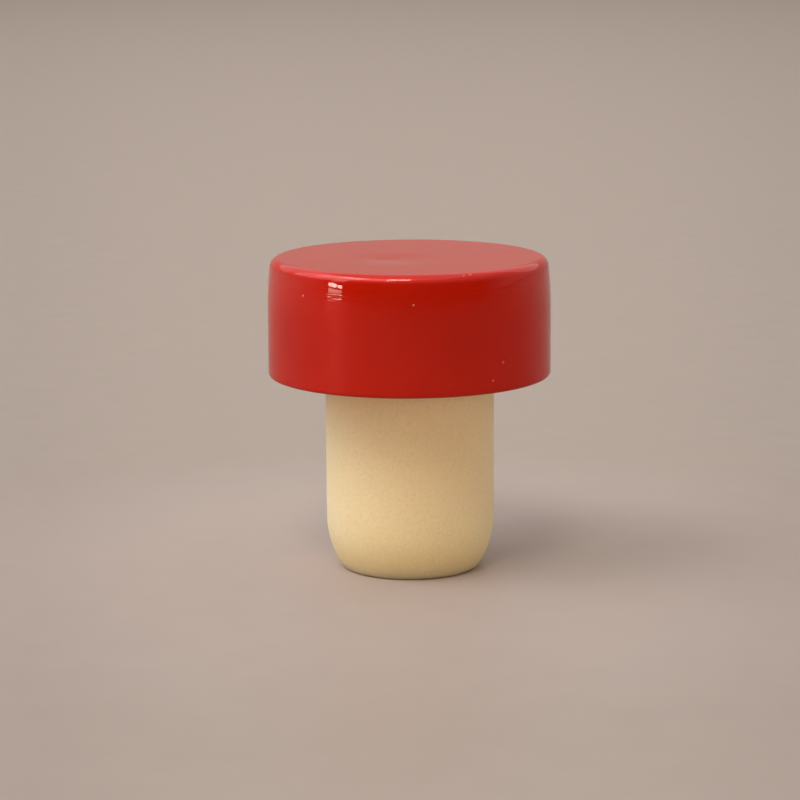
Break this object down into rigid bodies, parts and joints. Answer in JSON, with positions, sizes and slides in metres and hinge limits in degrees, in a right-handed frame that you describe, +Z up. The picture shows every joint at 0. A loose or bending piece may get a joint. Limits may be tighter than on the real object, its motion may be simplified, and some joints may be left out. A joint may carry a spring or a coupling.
{
  "type": "bottle stopper",
  "caption": "Bar-top bottle stopper: a round gloss-lacquered cap with a soft shoulder, glued over a foamed synthetic cork shank with a drawn-in nose.",
  "frame": {"origin": "centre of the shank's flat base, which the stopper stands on", "axes": "+Z up along the stopper's axis, from the shank's base to the cap's top"},
  "size_m": [0.0324, 0.0324, 0.0362],
  "materials": {
    "cap_lacquer": "gloss red lacquer over a moulded cap",
    "cork_foam": "matt tan foam with a fine sandy grain"
  },
  "bodies": {
    "root": {"cap": "cap_lacquer", "cork_shank": "cork_foam"}
  },
  "joints": []
}
